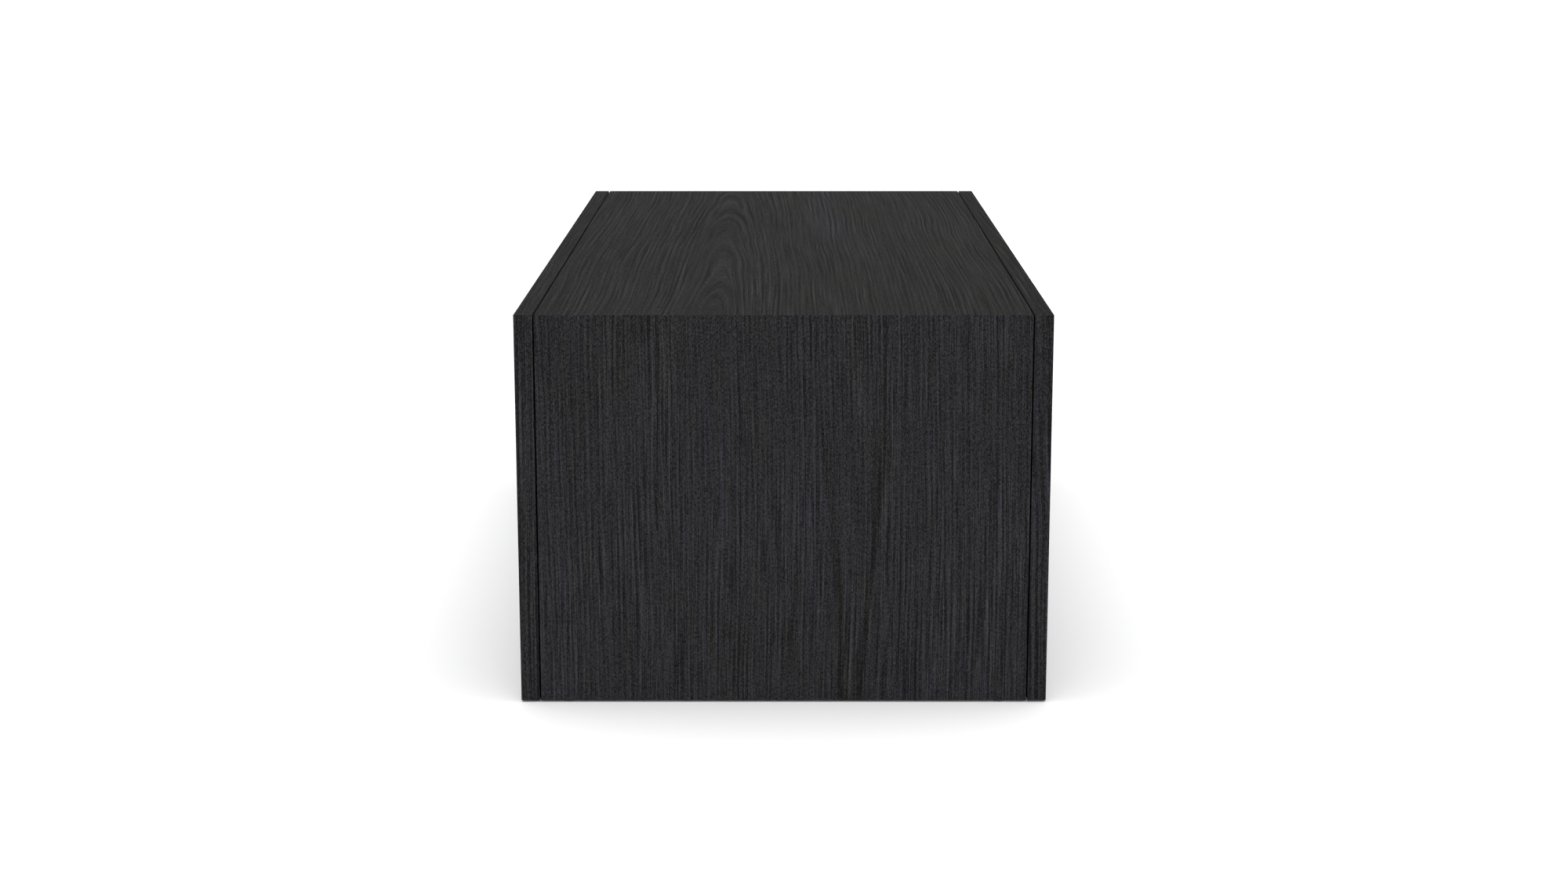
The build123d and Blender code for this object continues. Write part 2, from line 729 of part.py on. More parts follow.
def make_box_bottom(side):
    """Drawer bottom, held in the grooves, with blind holes for the hardware below it."""
    x0, x1 = mirrored_range(side, (GROOVE_X[0] + GROOVE_BOTTOM_PLAY, GROOVE_X[1] - GROOVE_BOTTOM_PLAY))
    half = GROOVE_Y - GROOVE_BOTTOM_PLAY
    depth = PAN_LENGTH - BRACKET_FLANGE
    with BuildPart() as panel:
        board(x0, x1, -half, half, BOX_BOTTOM_Z, BOX_BOTTOM_Z + BOX_BOTTOM_THICK)
        for (x, y, _), _ in under_screw_places(side):
            drill((x, y, BOX_BOTTOM_Z), (0, 0, 1), PAN_R + PILOT_EXTRA_R, depth + BOX_SCREW_EXTRA)
    return panel.part


# Anti-racking gear


def involute_angle(radius, base):
    """Polar angle of an involute at a radius, from its root on the base circle."""
    if radius <= base:
        return 0.0
    alpha = acos(base / radius)
    return tan(alpha) - alpha


def pinion_points():
    """Outline of the pinion in its own plane, with a tooth space at the bottom."""
    base = PITCH_R * cos(PRESSURE)
    tip = PITCH_R + TOOTH_ADDENDUM * MODULE
    root = PITCH_R - TOOTH_DEDENDUM * MODULE
    half_pitch = pi / (2 * TEETH) - BACKLASH / (2 * PITCH_R)
    offset = half_pitch + involute_angle(PITCH_R, base)
    flank_radii = [base + (tip - base) * n / FLANK_STEPS for n in range(FLANK_STEPS + 1)]
    points = []
    for n in range(TEETH):
        centre = -pi / 2 + (n + 0.5) * 2 * pi / TEETH
        flank = [(r, offset - involute_angle(r, base)) for r in flank_radii]
        points.append((root, centre - offset))
        points += [(r, centre - a) for r, a in flank]
        points += [(r, centre + a) for r, a in reversed(flank)]
        points.append((root, centre + offset))
    return [(r * cos(a), r * sin(a)) for r, a in points]


def make_pinions(side):
    """Two pinions, pressed on the ends of the cross shaft."""
    with BuildPart() as pinions:
        for end in ENDS:
            low = min(end * PINION_Y[0], end * PINION_Y[1])
            plane = Plane(origin=(side * SHAFT_X, low, SHAFT_Z), x_dir=(-1, 0, 0), z_dir=(0, 1, 0))
            with BuildSketch(plane):
                with BuildLine():
                    Polyline(*pinion_points(), close=True)
                make_face()
                Circle(SHAFT_R, mode=Mode.SUBTRACT)
            extrude(amount=PINION_Y[1] - PINION_Y[0])
    return pinions.part


def make_shaft(side):
    """Cross shaft that ties both ends of the drawer together."""
    with BuildPart() as shaft:
        with BuildSketch(Plane.XZ.offset(-SHAFT_HALF_Y)):
            with Locations((side * SHAFT_X, SHAFT_Z)):
                Circle(SHAFT_R)
        extrude(amount=2 * SHAFT_HALF_Y)
        chamfer(shaft.edges().filter_by(GeomType.CIRCLE), SHAFT_CHAMFER)
    return shaft.part


def rack_tooth_centres():
    """X of the rack's teeth on the right-hand side, one of them under the shaft."""
    pitch = pi * MODULE
    low = int((RACK_X[0] + pitch / 2 - SHAFT_X) / pitch)
    high = int((RACK_X[1] - pitch / 2 - SHAFT_X) / pitch)
    return [SHAFT_X + n * pitch for n in range(low, high + 1)]


def rack_outline():
    """Rack profile on the right-hand side, in (x, z)."""
    half = pi * MODULE / 4 - BACKLASH / 4
    top = RACK_PITCH_Z + TOOTH_ADDENDUM * MODULE
    root = RACK_PITCH_Z - TOOTH_DEDENDUM * MODULE
    top_half = half - (top - RACK_PITCH_Z) * tan(PRESSURE)
    root_half = half + (RACK_PITCH_Z - root) * tan(PRESSURE)
    points = [(RACK_X[0], BOTTOM_TOP), (RACK_X[0], root)]
    for x in rack_tooth_centres():
        points += [(x - root_half, root), (x - top_half, top), (x + top_half, top), (x + root_half, root)]
    points += [(RACK_X[1], root), (RACK_X[1], BOTTOM_TOP)]
    return points


def make_racks():
    """Four toothed racks with screw tabs, on the bottom board beside the ends."""
    with BuildPart() as racks:
        for side in SIDES.values():
            outline = [(side * x, z) for x, z in rack_outline()]
            for end in ENDS:
                with BuildSketch(Plane.XZ.offset(-max(end * RACK_Y[0], end * RACK_Y[1]))):
                    with BuildLine():
                        Polyline(*outline, close=True)
                    make_face()
                extrude(amount=RACK_Y[1] - RACK_Y[0])
                x0, x1 = mirrored_range(side, RACK_X)
                board(x0, x1, end * RACK_Y[1], end * RACK_TAB_Y, BOTTOM_TOP, BOTTOM_TOP + RACK_TAB_THICK)
            for (x, y, z), _ in rack_screw_places(side):
                drill((x, y, z), (0, 0, -1), PAN_R + PILOT_EXTRA_R, RACK_TAB_THICK)
    return racks.part


def make_brackets(side):
    """Bearing brackets under the drawer bottom."""
    outline = [
        (BRACKET_X[0], BOX_BOTTOM_Z),
        (BRACKET_X[1], BOX_BOTTOM_Z),
        (BRACKET_X[1], BOX_BOTTOM_Z - BRACKET_FLANGE),
        (BRACKET_LEG_X + 4, BOX_BOTTOM_Z - BRACKET_FLANGE),
        (BRACKET_LEG_X, BOX_BOTTOM_Z - BRACKET_FLANGE - BRACKET_SLOPE),
        (BRACKET_LEG_X, BRACKET_LOW_Z + 2),
        (BRACKET_LEG_X - 2, BRACKET_LOW_Z),
        (BRACKET_X[0] + 2, BRACKET_LOW_Z),
        (BRACKET_X[0], BRACKET_LOW_Z + 2),
    ]
    with BuildPart() as brackets:
        for y in BRACKET_Y:
            with BuildSketch(Plane.XZ.offset(-y - BRACKET_THICK / 2)):
                with BuildLine():
                    Polyline(*[(side * x, z) for x, z in outline], close=True)
                make_face()
                with Locations((side * SHAFT_X, SHAFT_Z)):
                    Circle(BEARING_R, mode=Mode.SUBTRACT)
            extrude(amount=BRACKET_THICK)
            screw = (side * BRACKET_SCREW_X, y, BOX_BOTTOM_Z)
            drill(screw, (0, 0, -1), PAN_R + PILOT_EXTRA_R, BRACKET_FLANGE)
    return brackets.part


# Push latch


def make_latch_housing(side):
    """Housing screwed to the bottom board, open towards the drawer front."""
    x0, x1 = mirrored_range(side, LATCH_X)
    b0, b1 = LATCH_BORE_X
    with BuildPart() as housing:
        board(x0, x1, -LATCH_HALF_Y, LATCH_HALF_Y, LATCH_Z - LATCH_HALF_Z, LATCH_Z + LATCH_HALF_Z)
        chamfer(housing.edges().filter_by(Axis.X).group_by(Axis.Z)[-1], 2)
        board(x0, x1, -LATCH_TAB_Y, LATCH_TAB_Y, BOTTOM_TOP, BOTTOM_TOP + LATCH_TAB_THICK)
        drill((side * b0, 0, LATCH_Z), (side, 0, 0), LATCH_BORE_R, b1 - b0)
        drill((side * b1, 0, LATCH_Z), (side, 0, 0), LATCH_NECK_R, LATCH_X[1] - b1)
        for (x, y, z), _ in latch_screw_places(side):
            drill((x, y, z), (0, 0, -1), PAN_R + PILOT_EXTRA_R, LATCH_TAB_THICK)
    return housing.part


def make_plunger(side):
    """Plunger with its collar inside the housing."""
    c0, c1 = PLUNGER_COLLAR_X
    with BuildPart() as plunger:
        with BuildSketch(Plane.XY.offset(LATCH_Z)):
            with BuildLine():
                Polyline(
                    (side * c0, 0),
                    (side * c0, PLUNGER_COLLAR_R),
                    (side * c1, PLUNGER_COLLAR_R),
                    (side * c1, PLUNGER_R),
                    (side * (PLUNGER_TIP_X - PLUNGER_TIP_CHAMFER), PLUNGER_R),
                    (side * PLUNGER_TIP_X, PLUNGER_R - PLUNGER_TIP_CHAMFER),
                    (side * PLUNGER_TIP_X, 0),
                    close=True,
                )
            make_face()
        revolve(axis=Axis((0, 0, LATCH_Z), (1, 0, 0)))
    return plunger.part


def make_spring(side):
    """Compression spring behind the plunger's collar."""
    length = SPRING_X[1] - SPRING_X[0]
    with BuildPart() as coil:
        with BuildLine() as path:
            Helix(pitch=length / SPRING_TURNS, height=length, radius=SPRING_COIL_R)
        with BuildSketch(Plane(origin=path.line @ 0, z_dir=path.line % 0)):
            Circle(SPRING_WIRE_R)
        sweep(path=path.line, is_frenet=True)
    return copies(coil.part, [((side * SPRING_X[0], 0, LATCH_Z), (side, 0, 0))])


def make_strike(side):
    """Stop block under the drawer that meets the plunger."""
    x0 = PLUNGER_TIP_X + STRIKE_CLEARANCE
    with BuildPart() as strike:
        with BuildSketch(Plane.XZ.offset(-STRIKE_HALF_Y)):
            with BuildLine():
                points = [
                    (x0, BOX_BOTTOM_Z),
                    (x0, STRIKE_LOW_Z),
                    (x0 + STRIKE_THICK, STRIKE_LOW_Z),
                    (x0 + STRIKE_THICK, BOX_BOTTOM_Z - STRIKE_FLANGE - STRIKE_SLOPE),
                    (x0 + STRIKE_THICK + STRIKE_SLOPE, BOX_BOTTOM_Z - STRIKE_FLANGE),
                    (STRIKE_X1, BOX_BOTTOM_Z - STRIKE_FLANGE),
                    (STRIKE_X1, BOX_BOTTOM_Z),
                ]
                Polyline(*[(side * x, z) for x, z in points], close=True)
            make_face()
        extrude(amount=2 * STRIKE_HALF_Y)
        for end in ENDS:
            seat = (side * STRIKE_SCREW_X, end * STRIKE_SCREW_Y, BOX_BOTTOM_Z)
            drill(seat, (0, 0, -1), PAN_R + PILOT_EXTRA_R, STRIKE_FLANGE)
    return strike.part


os.makedirs("parts", exist_ok=True)

keep(make_top_panel(), "top_panel")
keep(make_end_panel(-1), "end_panel_front")
keep(make_end_panel(1), "end_panel_rear")
keep(make_bottom_panel(), "bottom_panel")
keep(make_divider(), "centre_divider")
keep(make_splines(), "mitre_splines")

peg = dowel(DOWEL_R, DOWEL_LENGTH, DOWEL_LENGTH - DOWEL_SHORT_END)
keep(copies(peg, end_dowel_places + divider_low_places + divider_high_places), "carcass_dowels")
keep(make_cam_discs(), "cam_discs")
keep(make_cam_bolts(), "cam_bolts")
keep(make_glides(), "floor_glides")

cabinet_screw = countersunk_screw(
    CABINET_SCREW_R, CABINET_SCREW_HEAD_R, CABINET_SCREW_HEAD_DEPTH, CABINET_SCREW_LENGTH
)
front_screw = countersunk_screw(
    FRONT_SCREW_R, FRONT_SCREW_HEAD_R, FRONT_SCREW_HEAD_DEPTH, FRONT_SCREW_LENGTH
)
small_screw = pan_screw()
box_peg = dowel(BOX_DOWEL_R, BOX_DOWEL_LENGTH, BOX_DOWEL_LENGTH - BOX_DOWEL_SHORT_END)

keep(copies(cabinet_screw, cabinet_screw_places(-1) + cabinet_screw_places(1)), "runner_cabinet_screws")
base_places = [p for s in (-1, 1) for p in rack_screw_places(s) + latch_screw_places(s)]
keep(copies(small_screw, base_places), "base_screws")
keep(make_racks(), "stabiliser_racks")

for name, side in SIDES.items():
    keep(make_cabinet_members(side), "runner_cabinet_" + name)
    keep(make_middle_members(side), "runner_middle_" + name)
    keep(make_slide_members(side), "runner_drawer_" + name)
    keep(make_cages(side, OUTER_CAGE_X, OUTER_CAGE_S, OUTER_BALL_S, OUTER_BALL_Z), "cage_outer_" + name)
    keep(make_balls(side, OUTER_BALL_S, OUTER_BALL_Z), "balls_outer_" + name)
    keep(make_cages(side, INNER_CAGE_X, INNER_CAGE_S, INNER_BALL_S, INNER_BALL_Z), "cage_inner_" + name)
    keep(make_balls(side, INNER_BALL_S, INNER_BALL_Z), "balls_inner_" + name)
    keep(make_drawer_front(side), "drawer_front_" + name)
    keep(make_box_side(side, -1), "drawer_side_front_" + name)
    keep(make_box_side(side, 1), "drawer_side_rear_" + name)
    keep(make_box_cross(side, (BOX_X1 - BOX_BOARD, BOX_X1)), "drawer_inner_front_" + name)
    keep(make_box_cross(side, (BOX_X0, BOX_X0 + BOX_BOARD)), "drawer_back_" + name)
    keep(make_box_bottom(side), "drawer_bottom_" + name)
    keep(copies(box_peg, box_dowel_places(side)), "drawer_dowels_" + name)
    keep(copies(front_screw, front_screw_places(side)), "drawer_front_screws_" + name)
    hardware = slide_screw_places(side) + under_screw_places(side)
    keep(copies(small_screw, hardware), "drawer_hardware_screws_" + name)
    keep(make_shaft(side), "stabiliser_shaft_" + name)
    keep(make_pinions(side), "stabiliser_pinions_" + name)
    keep(make_brackets(side), "stabiliser_brackets_" + name)
    keep(make_latch_housing(side), "latch_housing_" + name)
    keep(make_plunger(side), "latch_plunger_" + name)
    keep(make_spring(side), "latch_spring_" + name)
    keep(make_strike(side), "latch_strike_" + name)

print(len(saved), "pieces")
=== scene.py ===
import json
import math

import bpy
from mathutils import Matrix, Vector


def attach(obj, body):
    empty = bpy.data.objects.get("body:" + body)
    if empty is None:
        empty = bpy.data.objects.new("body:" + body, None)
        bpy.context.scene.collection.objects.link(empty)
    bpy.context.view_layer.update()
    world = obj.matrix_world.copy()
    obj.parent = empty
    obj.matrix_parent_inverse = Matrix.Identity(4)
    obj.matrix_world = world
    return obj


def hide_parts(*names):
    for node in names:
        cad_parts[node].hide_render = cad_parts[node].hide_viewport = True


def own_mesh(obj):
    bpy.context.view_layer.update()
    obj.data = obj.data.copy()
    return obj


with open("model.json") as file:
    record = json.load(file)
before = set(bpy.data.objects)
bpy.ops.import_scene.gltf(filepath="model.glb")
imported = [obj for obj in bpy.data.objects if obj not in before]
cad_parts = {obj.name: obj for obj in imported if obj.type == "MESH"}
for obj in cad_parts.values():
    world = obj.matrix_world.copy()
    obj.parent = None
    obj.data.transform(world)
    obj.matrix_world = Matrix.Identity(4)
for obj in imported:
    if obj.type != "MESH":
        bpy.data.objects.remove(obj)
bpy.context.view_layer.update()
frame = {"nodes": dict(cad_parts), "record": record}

nodes = frame["nodes"]


# ---------------------------------------------------------------- node helpers

# The two colour sockets of a mix node
MIX_SOCKETS = (6, 7)
# The least share of a normal along an axis for a face to count as looking along it
FACING_SHARE = 0.6
# The middle of Blender's noise, which runs from 0 to 1
NOISE_MIDDLE = 0.5


class Tree:
    """A short way to build one material's nodes."""

    def __init__(self, name):
        self.material = bpy.data.materials.new(name)
        self.material.use_nodes = True
        self.nodes = self.material.node_tree.nodes
        self.links = self.material.node_tree.links
        self.nodes.clear()
        self.shader = self.nodes.new("ShaderNodeBsdfPrincipled")
        output = self.nodes.new("ShaderNodeOutputMaterial")
        self.links.new(self.shader.outputs["BSDF"], output.inputs["Surface"])
        self.position = self.nodes.new("ShaderNodeTexCoord").outputs["Object"]

    def put(self, socket, value):
        """Link a socket, or set a plain value."""
        if isinstance(value, bpy.types.NodeSocket):
            self.links.new(value, socket)
        else:
            socket.default_value = value

    def math(self, operation, first, second=0.0):
        """One step of arithmetic. Operations on one number ignore the second."""
        node = self.nodes.new("ShaderNodeMath")
        node.operation = operation
        self.put(node.inputs[0], first)
        self.put(node.inputs[1], second)
        return node.outputs[0]

    def add(self, first, second):
        return self.math("ADD", first, second)

    def mul(self, first, second):
        return self.math("MULTIPLY", first, second)

    def total(self, parts):
        """The sum of some sockets, added from the first to the last."""
        result = parts[0]
        for part in parts[1:]:
            result = self.add(result, part)
        return result

    def tint(self, colour, factors):
        """A colour multiplied channel by channel."""
        node = self.nodes.new("ShaderNodeVectorMath")
        node.operation = "MULTIPLY"
        self.put(node.inputs[0], colour)
        self.put(node.inputs[1], factors)
        return node.outputs[0]

    def split(self, vector):
        node = self.nodes.new("ShaderNodeSeparateXYZ")
        self.put(node.inputs[0], vector)
        return node.outputs[0], node.outputs[1], node.outputs[2]

    def join(self, x, y, z):
        node = self.nodes.new("ShaderNodeCombineXYZ")
        self.put(node.inputs[0], x)
        self.put(node.inputs[1], y)
        self.put(node.inputs[2], z)
        return node.outputs[0]

    def noise(self, vector, scale=1.0, detail=2.0):
        node = self.nodes.new("ShaderNodeTexNoise")
        self.put(node.inputs["Vector"], vector)
        node.inputs["Scale"].default_value = scale
        node.inputs["Detail"].default_value = detail
        return node.outputs[0]

    def span(self, value, low, high, to_low=0.0, to_high=1.0, smooth=True):
        """The value carried from low..high over to to_low..to_high, and held at both ends."""
        node = self.nodes.new("ShaderNodeMapRange")
        node.interpolation_type = "SMOOTHSTEP" if smooth else "LINEAR"
        node.clamp = True
        self.put(node.inputs[0], value)
        self.put(node.inputs[1], low)
        self.put(node.inputs[2], high)
        self.put(node.inputs[3], to_low)
        self.put(node.inputs[4], to_high)
        return node.outputs[0]

    def near(self, value, full, none):
        """1 where the value is within full of zero, fading to 0 at none."""
        return self.span(self.math("ABSOLUTE", value), full, none, 1.0, 0.0)

    def ramp(self, value, stops):
        """A colour picked by the value from (place, colour) stops."""
        node = self.nodes.new("ShaderNodeValToRGB")
        self.put(node.inputs[0], value)
        elements = node.color_ramp.elements
        while len(elements) < len(stops):
            elements.new(0.5)
        for element, (place, colour) in zip(elements, stops):
            element.position = place
            element.color = (*colour, 1.0)
        return node.outputs[0]

    def mix(self, factor, first, second):
        """The first colour, turning into the second as the factor goes from 0 to 1."""
        node = self.nodes.new("ShaderNodeMix")
        node.data_type = "RGBA"
        self.put(node.inputs["Factor"], factor)
        for place, colour in zip(MIX_SOCKETS, (first, second)):
            if not isinstance(colour, bpy.types.NodeSocket):
                colour = (*colour, 1.0)
            self.put(node.inputs[place], colour)
        return node.outputs[2]

    def facing(self):
        """Masks of faces that look along X, Y and Z, from the surface's own normal."""
        normal = self.nodes.new("ShaderNodeNewGeometry").outputs["True Normal"]
        sizes = [self.math("ABSOLUTE", part) for part in self.split(normal)]
        return [self.math("GREATER_THAN", size, FACING_SHARE) for size in sizes]

    def bump(self, height, distance, strength):
        node = self.nodes.new("ShaderNodeBump")
        node.inputs["Strength"].default_value = strength
        node.inputs["Distance"].default_value = distance
        self.put(node.inputs["Height"], height)
        self.links.new(node.outputs[0], self.shader.inputs["Normal"])

    def set(self, **values):
        """Set inputs of the shader. An underscore stands for a space in the input's name."""
        for name, value in values.items():
            self.put(self.shader.inputs[name.replace("_", " ")], value)


def shade(colour, factor):
    """A colour made darker or paler by a factor."""
    return tuple(channel * factor for channel in colour)


# ---------------------------------------------------------------- black-stained oak

# A noise is (cells per metre across the grain, cells per metre along it, place in the noise).
# A span is (low, high, value at low, value at high) of Tree.span.

# The faces of one leaf that look along X and Y, set apart in the noise from those along Z
X_FACE_SHIFT = 3.1
Y_FACE_SHIFT = 7.7

# How the grain drifts sideways: a noise and its reach in metres
SLOW_DRIFT = (3.0, 1.5, 0.0)
SLOW_DRIFT_REACH = 0.022
DRIFT = (22.0, 6.0, 1.0)
DRIFT_REACH = 0.0034
FINE_DRIFT = (60.0, 22.0, 13.0)
FINE_DRIFT_REACH = 0.0009

# Where the leaf is cut through growth rings
RISE = (14.0, 4.0, 8.0)
RISE_REACH = 0.008
HEART_SHIFT = (-0.09, 0.09, 0.0, 2.5)
HEART_FADE = (0.0, 0.035, 0.55, 1.0)

# Streaks along the rings: a noise and its weight
LONG_STREAKS = (
    ((150.0, 3.0, 2.0), 0.12),
    ((400.0, 5.0, 3.0), 0.30),
    ((720.0, 7.0, 4.0), 2.00),
    ((1050.0, 16.0, 5.0), 2.80),
)
FINE_STREAKS = (1700.0, 60.0, 12.0)
FINE_STREAKS_WEIGHT = 0.90
UNEVEN = (24.0, 5.0, 14.0)
UNEVEN_STRENGTH = (-0.16, 0.16, 0.65, 1.35)

# Nearly even lines along the rings: pitch in metres, place in the noise, weight
EVEN_LINES = (
    (0.0079, 18.0, 0.10),
    (0.0060, 15.0, 0.23),
    (0.0045, 16.0, 0.20),
)
LINE_WOBBLE = 8.0
LINE_DRIFTS_PER_PITCH = 0.36
LINE_DRIFTS_ALONG = 6.0

SHORT_MARKS = (880.0, 400.0, 6.0)
SHORT_MARKS_WEIGHT = 4.7
PATCHES = (11.0, 3.5, 7.0)
PATCHES_WEIGHT = 0.40
PATCHES_OLIVE = -0.6

ARCH_WAVE = (-1.0, 0.2, -1.0, 0.25)
ARCH_FULL = 0.4

VEE_FULL = 0.0020
VEE_HALF_WIDTH = 0.0058
VEE_FADE = 0.7
VEE_BREAKS = (30.0, 12.0, 17.0)
VEE_BREAKS_DEPTH = (-0.2, 0.1, 0.60, 1.0)
VEE_WEIGHT = -0.52
VEE_OLIVE = 0.22

# The painted sheen on the top: a sheaf of brighter, bluer lines along the grain
PAINTED_SHEEN_FULL = 0.3
PAINTED_SHEEN_FADE = 0.35
PAINTED_SHEEN_PITCH = 0.0072
PAINTED_SHEEN_WOBBLE = 4.0
PAINTED_SHEEN_PLACE = 19.0
PAINTED_SHEEN_LINES = (-0.6, 1.0, -0.05, 0.80)
PAINTED_SHEEN_OLIVE = -0.22

# The height in metres up to which the painted light at the foot of an upright leaf reaches
PAINTED_FOOT_LIGHT_HEIGHT = 0.32
LEAST_GAIN = 0.12

PORES = (1700.0, 48.0, 9.0)
PORES_SPAN = (0.07, 0.20)
PORES_DARKEN = 0.45
PORE_COLOUR = (0.004, 0.004, 0.004)
SPECKS = (800.0, 420.0, 10.0)
SPECKS_SPAN = (0.20, 0.30)
SPECKS_PALE = 0.30
SPECK_COLOUR = (0.070, 0.070, 0.074)

HUES = (130.0, 12.0, 11.0)
HUES_WEIGHT = 0.60
HUE_MIDDLE = 0.5
OLIVE_TO_BLUE = [
    (0.30, (0.0209, 0.0205, 0.0202)),
    (0.50, (0.0200, 0.0199, 0.0232)),
    (0.70, (0.0197, 0.0195, 0.0256)),
]

OAK_RELIEF = 0.35
OAK_PORE_RELIEF = -0.8
OAK_BUMP = 0.00018
OAK_BUMP_STRENGTH = 0.5
OAK_ROUGHNESS = (-0.5, 0.5, 0.66, 0.54)
OAK_SHINE = 0.10

# Factors for the faces that look along X, Y and Z: painted light and shade, each face of one veneer made
# darker or paler for how the lamps fall on it, the top darkest. The blue factors are painted the same way
# and make the top less blue.
PANEL_PAINTED_SHADING = (0.66, 0.625, 0.485)
LEFT_PAINTED_SHADING = (0.66, 0.60, 0.46)
RIGHT_PAINTED_SHADING = (0.66, 0.56, 0.34)
PANEL_PAINTED_BLUE = (1.0, 1.0, 0.88)


class Leaf(Tree):
    """One leaf of veneer. u runs across the grain, v along it, and deep sets leaves and faces apart."""

    def __init__(self, name, along, seed, run):
        super().__init__(name)
        self.run = run
        axis = dict(zip("XYZ", self.split(self.position)))
        self.faces = dict(zip("XYZ", self.facing()))
        across_parts = []
        along_parts = []
        for face, grain in along.items():
            across = next(a for a in "XYZ" if a not in (face, grain))
            across_parts.append(self.mul(self.faces[face], axis[across]))
            along_parts.append(self.mul(self.faces[face], axis[grain]))
        self.u = self.total(across_parts)
        self.v = self.total(along_parts)
        y_shift = self.add(self.mul(self.faces["Y"], Y_FACE_SHIFT), seed)
        self.deep = self.add(self.mul(self.faces["X"], X_FACE_SHIFT), y_shift)

    def by_face(self, values):
        """One value for each of the three ways that a face can look."""
        return self.total([self.mul(self.faces[a], value) for a, value in zip("XYZ", values)])

    def layer(self, place, noise, run=1.0, detail=1.0):
        """Noise drawn out along the grain, centred on zero. A smaller run draws it out further."""
        across, along, shift = noise
        point = self.join(self.mul(place, across), self.mul(self.v, along * run), self.add(self.deep, shift))
        return self.add(self.noise(point, detail=detail), -NOISE_MIDDLE)

    def lines(self, place, pitch, wobble, shift):
        """Nearly even lines, one in every pitch, that drift in phase."""
        drift = (LINE_DRIFTS_PER_PITCH / pitch, LINE_DRIFTS_ALONG, shift)
        phase = self.mul(self.layer(place, drift, self.run), wobble)
        return self.math("SINE", self.add(self.mul(place, 2 * math.pi / pitch), phase))

    def drifting(self, sway):
        """The place across the grain, with the grain's drift."""
        wander = self.total([
            self.mul(self.layer(self.u, SLOW_DRIFT), SLOW_DRIFT_REACH),
            self.mul(self.layer(self.u, DRIFT), DRIFT_REACH * sway),
            self.mul(self.layer(self.u, FINE_DRIFT), FINE_DRIFT_REACH),
        ])
        return self.add(self.u, wander)

    def cut_rings(self, place, rings):
        """The radius of the growth ring, and how far it is to the side of their centre.
        From here on the noise differs from side to side, so that the two aren't mirror images."""
        centre, depth, taper = rings
        aside = self.add(place, -centre)
        rise = self.add(self.mul(self.v, taper), depth)
        rise = self.add(rise, self.mul(self.layer(self.u, RISE), RISE_REACH))
        ring = self.math("SQRT", self.add(self.mul(aside, aside), self.mul(rise, rise)))
        self.deep = self.add(self.deep, self.span(aside, *HEART_SHIFT))
        return ring, aside

    def streaks(self, ring, aside, contrast):
        """Streaks and lines along the rings, uneven in strength and fainter at the rings' centre."""
        strength = self.span(self.layer(self.u, UNEVEN, detail=2.0), *UNEVEN_STRENGTH)
        if aside is not None:
            strength = self.mul(strength, self.span(self.math("ABSOLUTE", aside), *HEART_FADE))
        layers = [(self.layer(ring, noise, self.run), weight) for noise, weight in LONG_STREAKS]
        layers.append((self.layer(ring, FINE_STREAKS), FINE_STREAKS_WEIGHT))
        for pitch, shift, weight in EVEN_LINES:
            layers.append((self.lines(ring, pitch, LINE_WOBBLE, shift), weight))
        value = self.total([self.mul(noise, weight * contrast) for noise, weight in layers])
        return self.mul(value, strength)

    def arches(self, ring, aside, arch):
        """Broad dark arches that follow the rings near their centre."""
        pitch, reach, weight = arch
        wave = self.span(self.math("SINE", self.mul(ring, 2 * math.pi / pitch)), *ARCH_WAVE)
        return self.mul(self.mul(wave, self.near(aside, reach * ARCH_FULL, reach)), weight)

    def vee_streaks(self, ring, vee):
        """A mask of two streaks on the faces along Y that open upward and fade out at the top."""
        middle, half, spread, top = vee
        off = self.math("ABSOLUTE", self.add(ring, -middle))
        off = self.add(off, self.mul(self.add(self.mul(self.v, spread), half), -1.0))
        streak = self.near(off, VEE_FULL, VEE_HALF_WIDTH)
        streak = self.mul(streak, self.span(self.v, top * VEE_FADE, top, 1.0, 0.0))
        breaks = self.span(self.layer(self.u, VEE_BREAKS), *VEE_BREAKS_DEPTH)
        return self.mul(streak, self.mul(self.faces["Y"], breaks))

    def painted_sheen_mask(self, painted_sheen):
        """A mask of the painted sheen, a sheaf of brighter lines on the faces along Z."""
        middle, half, start = painted_sheen
        sheaf = self.near(self.add(self.u, -middle), half * PAINTED_SHEEN_FULL, half)
        return self.mul(sheaf, self.mul(self.faces["Z"], self.span(self.v, start, start + PAINTED_SHEEN_FADE)))

    def stain(self, ring, value, olive, face_shading, contrast):
        """The black stain, darker or paler with the value and with a hue from olive to blue, scaled face by
        face by painted light and shade for how the lamps fall on each face.
        """
        pores = self.span(self.layer(ring, PORES), *PORES_SPAN)
        specks = self.span(self.layer(self.u, SPECKS), *SPECKS_SPAN)
        # Painted light and shade: the figure is scaled face by face, and the top made less blue, for how the
        # lamps fall on each face
        figure_and_face_shading = self.mul(self.math("MAXIMUM", self.add(1.0, value), LEAST_GAIN), self.by_face(face_shading))
        hue = self.mul(self.layer(ring, HUES), HUES_WEIGHT * contrast)
        hue = self.add(hue, self.add(HUE_MIDDLE, self.mul(olive, -1.0)))
        colour = self.ramp(hue, OLIVE_TO_BLUE)
        colour = self.tint(colour, self.join(figure_and_face_shading, figure_and_face_shading, self.mul(figure_and_face_shading, self.by_face(PANEL_PAINTED_BLUE))))
        colour = self.mix(self.mul(pores, PORES_DARKEN), colour, PORE_COLOUR)
        colour = self.mix(self.mul(specks, SPECKS_PALE), colour, SPECK_COLOUR)
        height = self.add(self.mul(value, OAK_RELIEF), self.mul(pores, OAK_PORE_RELIEF))
        self.bump(height, OAK_BUMP, OAK_BUMP_STRENGTH)
        self.set(Base_Color=colour, Roughness=self.span(value, *OAK_ROUGHNESS), Specular_IOR_Level=OAK_SHINE)


